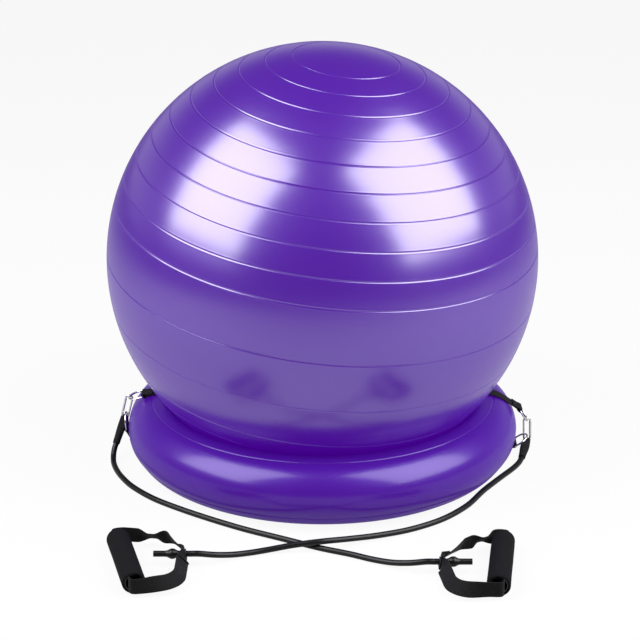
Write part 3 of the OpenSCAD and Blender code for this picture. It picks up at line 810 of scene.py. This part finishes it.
# %% Overlap and its thread
reach_each_way, seam_ends = 9, 2 * mm
for hand, handle in handles.items():
    line = handle["line"]
    closest = min(range(len(line)), key=lambda i: (line[i] - Vector((yoke_x, 0, 0))).length)
    from_eyelet = resampled(line[closest:] + line[:closest + 1], 1.5 * mm)
    patch = from_eyelet[-reach_each_way:-1] + from_eyelet[:reach_each_way]
    tangents = directions(patch)
    sides = [leaning_side(place, tangent, handle) for place, tangent in zip(patch, tangents)]
    middle = [place + tangent.cross(side) * (loop_thickness + 0.1 * mm)
              for place, tangent, side in zip(patch, tangents, sides)]
    place_in, turn_only = handle["frame"], handle["frame"].to_3x3()
    layer = ribbon(hand + "_handle_overlap", [place_in @ point for point in middle],
                   [turn_only @ side for side in sides], loop_width, loop_thickness)
    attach(layer, hand + "_band_handle")
    seams = []
    for i in (1, -2):
        out = turn_only @ tangents[i].cross(sides[i])
        place = place_in @ middle[i] + out * loop_thickness / 2
        half = turn_only @ sides[i] * (loop_width / 2 - seam_ends)
        seams.append((place - half, place + half, out))
    thread = stitches(hand + "_handle_thread", seams)
    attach(thread, hand + "_band_handle")
    loops[hand] += [layer, thread]
    print(layer.name, "length", round(route_length(middle), 4), "m")

# %% [markdown]
# ## Tube tails
# The tube goes through the eyelet and swells over a stop ball pushed inside
# it, which keeps it from pulling out. Its cut end shows the bore. A profile
# turned about the tube's line gives the swelling its stretched shape.

# %% Tube tails
bulge_at, bulge_radius, bulge_reach = 13 * mm, 7.3 * mm, 5.6 * mm
tail_end, bore_radius, bore_depth, cut_round = 39 * mm, 2.1 * mm, 9 * mm, 0.3 * mm
tail_profile = [(0, 0)]
for k in range(61):
    along = tail_end * k / 60
    swell = exp(-abs((along - bulge_at) / bulge_reach) ** 2.6)
    tail_profile.append((tube_radius + (bulge_radius - tube_radius) * swell, along))
tail_profile += [(tube_radius - cut_round, tail_end + cut_round),
                 (bore_radius + cut_round, tail_end + cut_round), (bore_radius, tail_end),
                 (bore_radius, tail_end - bore_depth), (0, tail_end - bore_depth)]
tails = {}
for hand, handle in handles.items():
    heading = handle["frame"].to_3x3() @ Vector((1, 0, 0))
    tail = turned(hand + "_tube_tail", tail_profile, handle["frame"].translation, heading, 32)
    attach(tail, hand + "_band_handle")
    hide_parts(hand + "_band_tail")
    tails[hand] = tail
    print(tail.name, "reaches", tail_end, "m past the eyelet")

# %% [markdown]
# ## Foam grips
# The grips are soft NBR foam tubes on a hard sleeve. A bevelled cylinder
# would look machined. Foam has rounded cut ends and is never quite straight,
# so a turned surface is made to swell by fractions of a millimetre.

# %% Profile of a grip
sleeve_radius, end_round, half = 12.5 * mm, 3 * mm, grip_length / 2
lip = [(sleeve_radius, half - 1.5 * mm), (sleeve_radius + 0.4 * mm, half - 0.5 * mm),
       (sleeve_radius + 1 * mm, half)]
corner = [(grip_radius - end_round + end_round * sin(radians(angle)),
           half - end_round + end_round * cos(radians(angle))) for angle in range(15, 91, 15)]
straight, steps = grip_length - 2 * end_round, 44
run = [(grip_radius, half - end_round - straight * k / steps) for k in range(1, steps)]
far_end = [(reach, -height) for reach, height in reversed(lip + corner)]
grip_profile = lip + corner + run + far_end + lip[:1]
print("points in the grip's profile:", len(grip_profile))

# %% Foam grips
swell_height, skin_depth, swells_per_metre = 0.35 * mm, 0.8 * mm, 22
grips = {}
for hand, handle in handles.items():
    spin = Matrix.Rotation(handle["turn"], 3, "Z")
    middle = handle["frame"] @ (spin @ Vector((handle_reach, handle["shift"], 0)))
    axis = (handle["frame"].to_3x3() @ spin @ Vector((0, 1, 0))).normalized()
    grip = turned(hand + "_foam_grip", grip_profile, middle, axis, 72)
    for vertex in grip.data.vertices:
        offset = vertex.co - middle
        out = offset - axis * offset.dot(axis)
        if out.length > sleeve_radius + skin_depth:
            soft = noise(vertex.co * swells_per_metre + Vector((3, 1, 7))) * swell_height
            vertex.co += out.normalized() * (soft - 0.2 * mm)
    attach(grip, hand + "_band_grip")
    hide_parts(hand + "_band_foam_grip")
    grips[hand] = grip
    print(grip.name, "at", tuple(round(c, 4) for c in middle))

# %% [markdown]
# ## Colours and nodes
# Colours are written as sRGB hex and turned to linear light. One small
# function adds a shader node, sets it up and links its inputs, so a material
# reads as a list of what goes into what. Each one starts from no nodes.

# %% Colour and node helpers
def linear(code):
    """Linear RGBA from sRGB hex."""
    values = [int(code[i:i + 2], 16) / 255 for i in (1, 3, 5)]
    return (*(v / 12.92 if v <= 0.04045 else ((v + 0.055) / 1.055) ** 2.4 for v in values), 1)


def add_node(owner, kind, inputs=None, **settings):
    """Add a node; inputs are values or other nodes' outputs, by socket name or number."""
    node = owner.node_tree.nodes.new(kind)
    for name, value in settings.items():
        setattr(node, name, value)
    for socket, value in (inputs or {}).items():
        if isinstance(value, bpy.types.NodeSocket):
            owner.node_tree.links.new(value, node.inputs[socket])
        else:
            node.inputs[socket].default_value = value
    return node


def start_nodes(owner):
    """Give a material or the world a node tree with nothing in it."""
    owner.use_nodes = True
    owner.node_tree.nodes.clear()
    return owner


def finish_with(pieces, material):
    """Give pieces one material."""
    for piece in pieces:
        piece.data.materials.clear()
        piece.data.materials.append(material)


print("white is", linear("#FFFFFF"))

# %% [markdown]
# ## Pearl PVC
# Anti-burst balls are moulded from PVC with pearl pigment. Its flakes of
# mica reflect a soft, wide, slightly metallic gloss, so the shader is part
# metallic. Titania on the flakes bends light strongly, which a coat with a
# high IOR gives. Some light also comes through the thin inflated wall.
# Scattering it inside the wall would be slow, so a faint even painted glow,
# an emission of deep violet, stands for it. It also lifts the shade where
# the ball sits in the ring.

# %% Pearl PVC
def pearl_pvc(name, deep, light, metallic, roughness, coat, coat_roughness, painted_glow):
    """Deep violet with a wide soft highlight, broken a little by the sheet's uneven skin, and a
    faint painted glow.
    """
    material = start_nodes(bpy.data.materials.new(name))
    place = add_node(material, "ShaderNodeTexCoord").outputs["Object"]
    # The pigment drifts in clouds about 110 mm wide, and the mould's orange peel is 2.4 mm wide.
    cloud = add_node(material, "ShaderNodeTexNoise", {
        "Vector": place, "Scale": 1 / (111 * mm), "Detail": 4}).outputs["Fac"]
    colour = add_node(material, "ShaderNodeMix", {
        0: cloud, 6: linear(deep), 7: linear(light)}, data_type="RGBA")
    gloss = add_node(material, "ShaderNodeMapRange", {
        "Value": cloud, "To Min": roughness - 0.03, "To Max": roughness + 0.04})
    peel = add_node(material, "ShaderNodeTexNoise", {
        "Vector": place, "Scale": 1 / (2.4 * mm), "Detail": 2})
    bump = add_node(material, "ShaderNodeBump", {
        "Height": peel.outputs["Fac"], "Strength": 0.05, "Distance": 0.2 * mm})
    shader = add_node(material, "ShaderNodeBsdfPrincipled", {
        "Base Color": colour.outputs[2], "Roughness": gloss.outputs[0], "Normal": bump.outputs[0],
        "Metallic": metallic, "IOR": 1.5, "Specular IOR Level": 0.15,
        "Coat Weight": coat, "Coat Roughness": coat_roughness, "Coat IOR": 2.4,
        # The emission is a painted glow: the PVC shines a little though it is no lamp, which lifts
        # its shade.
        "Emission Color": linear("#5A00B4"), "Emission Strength": painted_glow})
    add_node(material, "ShaderNodeOutputMaterial", {"Surface": shader.outputs[0]})
    return material


# The ball is moulded with much pearl pigment; the ring is welded from plainer calendered sheet.
# The last number is the painted glow, an emission that lifts the shade of the ball and of the ring.
ball_pvc = pearl_pvc("pearl violet PVC", "#2A065B", "#2F0B63", 0.32, 0.38, 0.52, 0.23, 0.46)
ring_pvc = pearl_pvc("violet PVC sheet", "#2E0765", "#330C6D", 0.15, 0.38, 0.1, 0.2, 0.25)
finish_with([ball], ball_pvc)
finish_with([ring], ring_pvc)
print(ball_pvc.name, "and", ring_pvc.name)

# %% [markdown]
# ## Woven webbing
# Webbing is woven flat from thick yarn, in ribs crossed by picks. Modelled
# threads would need millions of faces, so two crossed wave textures draw the
# weave in bump, and in colour as a painted highlight that lightens the tops
# of the ribs. The UV map is in metres, so their scale comes straight from
# the distance between two ribs or picks.

# %% Woven webbing
def wave_scale(period):
    """Scale of a wave texture for a period in metres: at scale 1 it repeats every 2 pi / 20."""
    return 2 * pi / (20 * period)


def woven(name, dark, light, rib, pick, relief):
    """Matt black, with a painted highlight that lightens the tops of the ribs."""
    material = start_nodes(bpy.data.materials.new(name))
    place = add_node(material, "ShaderNodeUVMap", uv_map="metres").outputs["UV"]
    ribs = add_node(material, "ShaderNodeTexWave", {
        "Vector": place, "Scale": wave_scale(rib)}, bands_direction="Y", wave_profile="SIN")
    picks = add_node(material, "ShaderNodeTexWave", {
        "Vector": place, "Scale": wave_scale(pick)}, bands_direction="X", wave_profile="SIN")
    both = add_node(material, "ShaderNodeMath", {
        0: ribs.outputs["Fac"], 1: picks.outputs["Fac"]}, operation="MULTIPLY").outputs[0]
    # The colour runs from dark to light where the weave stands high: a painted highlight on the rib
    # tops.
    colour = add_node(material, "ShaderNodeMix", {
        0: both, 6: linear(dark), 7: linear(light)}, data_type="RGBA")
    bump = add_node(material, "ShaderNodeBump", {
        "Height": both, "Strength": relief, "Distance": 0.3 * mm})
    shader = add_node(material, "ShaderNodeBsdfPrincipled", {
        "Base Color": colour.outputs[2], "Normal": bump.outputs[0], "Roughness": 0.75,
        "IOR": 1.5, "Specular IOR Level": 0.12, "Sheen Weight": 0.03, "Sheen Roughness": 0.5})
    add_node(material, "ShaderNodeOutputMaterial", {"Surface": shader.outputs[0]})
    return material


# The straps' real ribs are 1.6 mm apart and their picks 1.2 mm, too fine to show from here, so
# both are drawn twice as coarse, and so are the loops'. The boots' tape is drawn at its real size.
strap_rib, strap_pick, loop_rib, loop_pick, drawn = 1.6 * mm, 1.2 * mm, 1.4 * mm, 1.0 * mm, 2
strap_weave = woven("woven polypropylene webbing", "#030304", "#0F0E11",
                    drawn * strap_rib, drawn * strap_pick, 0.7)
loop_weave = woven("woven nylon webbing", "#030304", "#0F0E11",
                   drawn * loop_rib, drawn * loop_pick, 0.7)
boot_weave = woven("woven polyester tape", "#040405", "#171519", strap_rib, strap_pick, 0.4)
print("drawn ribs:", round(drawn * strap_rib, 4), "m apart")


# %% Thread
def bonded_thread():
    """Smoother than webbing, so that each bead of the seams shows as a fine dot."""
    material = start_nodes(bpy.data.materials.new("bonded polyester thread"))
    shader = add_node(material, "ShaderNodeBsdfPrincipled", {
        "Base Color": linear("#151318"), "Roughness": 0.5, "IOR": 1.5, "Specular IOR Level": 0.3})
    add_node(material, "ShaderNodeOutputMaterial", {"Surface": shader.outputs[0]})
    return material


thread_look = bonded_thread()
for hand in ("left", "right"):
    finish_with([straps[hand][0]], strap_weave)
    finish_with([boots[hand][0]], boot_weave)
    finish_with(loops[hand][:2], loop_weave)
    finish_with([straps[hand][1], boots[hand][1], loops[hand][2]], thread_look)
print(thread_look.name)

# %% [markdown]
# ## Latex and foam
# Latex tube is dipped, which leaves it smooth and softly glossy, with a
# bloom of fine powder. The grips are cut from closed-cell NBR foam, whose
# fine open pores swallow the light. Painted maps could show both, but noise
# and cell textures need no unwrapping and keep their size all over.

# %% Latex
def dipped_latex():
    """Near black, with a highlight along the tube that the bloom breaks up."""
    material = start_nodes(bpy.data.materials.new("black dipped latex"))
    place = add_node(material, "ShaderNodeTexCoord").outputs["Object"]
    # Patches of bloom are about 17 mm long.
    bloom = add_node(material, "ShaderNodeTexNoise", {
        "Vector": place, "Scale": 1 / (16.7 * mm), "Detail": 5}).outputs["Fac"]
    colour = add_node(material, "ShaderNodeMix", {
        0: bloom, 6: linear("#040305"), 7: linear("#080709")}, data_type="RGBA")
    gloss = add_node(material, "ShaderNodeMapRange", {
        "Value": bloom, "To Min": 0.28, "To Max": 0.45})
    shader = add_node(material, "ShaderNodeBsdfPrincipled", {
        "Base Color": colour.outputs[2], "Roughness": gloss.outputs[0],
        "IOR": 1.52, "Specular IOR Level": 0.22})
    add_node(material, "ShaderNodeOutputMaterial", {"Surface": shader.outputs[0]})
    return material


latex = dipped_latex()
finish_with([*tubes.values(), *tails.values()], latex)
print(latex.name)


# %% Foam
def closed_cell_foam():
    """Matt and a little uneven, with no highlight."""
    material = start_nodes(bpy.data.materials.new("closed-cell NBR foam"))
    place = add_node(material, "ShaderNodeTexCoord").outputs["Object"]
    # Cut cells are about 0.4 mm wide, too fine to show, so pores of 1.1 mm are drawn.
    pores = add_node(material, "ShaderNodeTexVoronoi", {"Vector": place, "Scale": 1 / (1.1 * mm)})
    # Handling darkens it in patches about 28 mm wide.
    tone = add_node(material, "ShaderNodeTexNoise", {
        "Vector": place, "Scale": 1 / (28.5 * mm), "Detail": 6})
    colour = add_node(material, "ShaderNodeMix", {
        0: tone.outputs["Fac"], 6: linear("#0B0A0C"), 7: linear("#100F12")}, data_type="RGBA")
    bump = add_node(material, "ShaderNodeBump", {
        "Height": pores.outputs["Distance"], "Strength": 0.35, "Distance": 0.3 * mm})
    shader = add_node(material, "ShaderNodeBsdfPrincipled", {
        "Base Color": colour.outputs[2], "Normal": bump.outputs[0],
        "Roughness": 0.9, "IOR": 1.45, "Specular IOR Level": 0.08})
    add_node(material, "ShaderNodeOutputMaterial", {"Surface": shader.outputs[0]})
    return material


foam = closed_cell_foam()
finish_with(grips.values(), foam)
print(foam.name)

# %% [markdown]
# ## Metal and moulded parts
# The D-rings and hooks are steel wire, bent and then nickel-plated. The
# eyelets are lacquered brass. Valve seats, air plugs, sleeves, tube plugs
# and stop balls are moulded. Their solids already have the right shapes, so
# only the finish is made here.

# %% Nickel
def node_pieces(*endings):
    """The frame's own objects whose names end so."""
    return [bpy.data.objects[name] for name in frame["nodes"] if name.endswith(endings)]


def nickel():
    """A bright mirror, dulled here and there by fingers."""
    material = start_nodes(bpy.data.materials.new("nickel-plated steel wire"))
    place = add_node(material, "ShaderNodeTexCoord").outputs["Object"]
    # A smear is about 5.5 mm long.
    smear = add_node(material, "ShaderNodeTexNoise", {
        "Vector": place, "Scale": 1 / (5.5 * mm), "Detail": 3})
    gloss = add_node(material, "ShaderNodeMapRange", {
        "Value": smear.outputs["Fac"], "To Min": 0.08, "To Max": 0.22})
    shader = add_node(material, "ShaderNodeBsdfPrincipled", {
        "Base Color": linear("#D3D1D0"), "Metallic": 1, "Roughness": gloss.outputs[0]})
    add_node(material, "ShaderNodeOutputMaterial", {"Surface": shader.outputs[0]})
    return material


wire = node_pieces("_d_ring", "_hook_body", "_hook_gate", "_gate_pin", "_gate_spring")
finish_with(wire, nickel())
print("pieces of wire:", len(wire))


# %% Moulded and lacquered parts
def moulded(name, code, roughness):
    """An even colour under the soft sheen that a grained mould or a sprayed lacquer leaves."""
    material = start_nodes(bpy.data.materials.new(name))
    place = add_node(material, "ShaderNodeTexCoord").outputs["Object"]
    # The mould's grain is about 0.3 mm wide, too fine to show, so 1.1 mm is drawn.
    grain = add_node(material, "ShaderNodeTexNoise", {
        "Vector": place, "Scale": 1 / (1.1 * mm), "Detail": 2}).outputs["Fac"]
    gloss = add_node(material, "ShaderNodeMapRange", {
        "Value": grain, "To Min": roughness - 0.06, "To Max": roughness + 0.06})
    bump = add_node(material, "ShaderNodeBump", {
        "Height": grain, "Strength": 0.15, "Distance": 0.05 * mm})
    shader = add_node(material, "ShaderNodeBsdfPrincipled", {
        "Base Color": linear(code), "Roughness": gloss.outputs[0], "Normal": bump.outputs[0],
        "IOR": 1.5})
    add_node(material, "ShaderNodeOutputMaterial", {"Surface": shader.outputs[0]})
    return material


finish_with(node_pieces("_eyelet"), moulded("black lacquered brass", "#1C1B1F", 0.35))
finish_with(node_pieces("_valve_seat"), moulded("moulded violet PVC", "#4E35A0", 0.4))
finish_with(node_pieces("_air_plug"), moulded("white polyethylene", "#E8E8EA", 0.4))
inside = node_pieces("_sleeve", "_end_plug", "_stop_ball")
finish_with(inside, moulded("black polypropylene", "#222124", 0.45))
print("parts inside the grips and tubes:", len(inside))

# %% [markdown]
# ## Floor
# The object stands on white paper. Light alone would not make the paper
# white without washing out the black parts, so the camera also sees a white
# glow in it. Gloss sees less of that glow, and less still far away, or the
# underside of the ball would turn pale.

# %% Floor
def seen_share(owner, camera_share, mirrored_share):
    """One share for rays from the camera, and one for mirrored rays and those through glass."""
    rays = add_node(owner, "ShaderNodeLightPath").outputs
    mirrored = add_node(owner, "ShaderNodeMath", {
        0: rays["Is Glossy Ray"], 1: rays["Is Transmission Ray"]}, operation="MAXIMUM")
    part = add_node(owner, "ShaderNodeMath", {
        0: mirrored.outputs[0], 1: mirrored_share}, operation="MULTIPLY")
    share = add_node(owner, "ShaderNodeMath", {
        0: rays["Is Camera Ray"], 1: camera_share, 2: part.outputs[0]}, operation="MULTIPLY_ADD")
    return share.outputs[0]


bpy.ops.mesh.primitive_plane_add(size=200)
floor = bpy.context.object
floor.name = "floor"
paper = start_nodes(bpy.data.materials.new("white paper floor"))
camera_share, near_share, far_share, fade_start, fade_end = 0.92, 0.3, 0.06, 0.45, 0.95
centre = add_node(paper, "ShaderNodeTexCoord").outputs["Object"]
distance = add_node(paper, "ShaderNodeVectorMath", {0: centre}, operation="LENGTH")
fading = add_node(paper, "ShaderNodeMapRange", {
    "Value": distance.outputs["Value"], "From Min": fade_start, "From Max": fade_end,
    "To Min": near_share, "To Max": far_share},
    interpolation_type="SMOOTHSTEP")
matt = add_node(paper, "ShaderNodeBsdfPrincipled", {
    "Base Color": linear("#A8A8A8"), "Roughness": 0.9})
white = add_node(paper, "ShaderNodeEmission", {"Color": linear("#FFFFFF"), "Strength": 1})
mix = add_node(paper, "ShaderNodeMixShader", {
    0: seen_share(paper, camera_share, fading.outputs[0]), 1: matt.outputs[0], 2: white.outputs[0]})
add_node(paper, "ShaderNodeOutputMaterial", {"Surface": mix.outputs[0]})
finish_with([floor], paper)
print("floor", floor.dimensions.x, "m wide")

# %% [markdown]
# ## World and lamps
# An even bright room would light the object too, but leave its gloss blank.
# So the room is dim, and two large softboxes, high at the left and right,
# draw the ball's two tall highlights. Low behind the object the room is
# lighter, which lifts the ball's rim off the background.

# %% World
scene = bpy.context.scene
scene.view_settings.view_transform = "Standard"
world = start_nodes(bpy.data.worlds.new("studio"))
scene.world = world
room_light, back_light, backdrop_share, mirrored_backdrop = 0.07, 0.5, 0.85, 0.03
way = add_node(world, "ShaderNodeTexCoord").outputs["Generated"]
parts = add_node(world, "ShaderNodeSeparateXYZ", {"Vector": way}).outputs
behind = add_node(world, "ShaderNodeMapRange", {
    "Value": parts["Y"], "From Min": 0, "From Max": 0.6, "To Min": 0, "To Max": back_light},
    interpolation_type="SMOOTHSTEP")
low = add_node(world, "ShaderNodeMapRange", {
    "Value": parts["Z"], "From Min": 0.1, "From Max": 0.5, "To Min": 1, "To Max": 0},
    interpolation_type="SMOOTHSTEP")
room = add_node(world, "ShaderNodeMath", {
    0: behind.outputs[0], 1: low.outputs[0], 2: room_light}, operation="MULTIPLY_ADD")
strength = add_node(world, "ShaderNodeMath", {
    0: room.outputs[0], 1: seen_share(world, backdrop_share, mirrored_backdrop)}, operation="ADD")
background = add_node(world, "ShaderNodeBackground", {
    "Color": linear("#FFFFFF"), "Strength": strength.outputs[0]})
add_node(world, "ShaderNodeOutputWorld", {"Surface": background.outputs[0]})
print("world", world.name)

# %% Lamps
lamp_aim = Vector((0, 0, 0.33))


def softbox(name, place, width, height, power):
    """A rectangular soft lamp turned towards the ball's middle."""
    lamp = bpy.data.objects.new(name, bpy.data.lights.new(name, "AREA"))
    lamp.data.shape, lamp.data.energy = "RECTANGLE", power
    lamp.data.size, lamp.data.size_y = width, height
    lamp.location = place
    lamp.rotation_euler = (lamp_aim - lamp.location).to_track_quat("-Z", "Y").to_euler()
    scene.collection.objects.link(lamp)


softbox("left softbox", (-1.5, -0.68, 1.72), 1.85, 2.1, 107)
softbox("right softbox", (1.45, -0.66, 1.64), 1.95, 2.15, 112)
print("two softboxes")
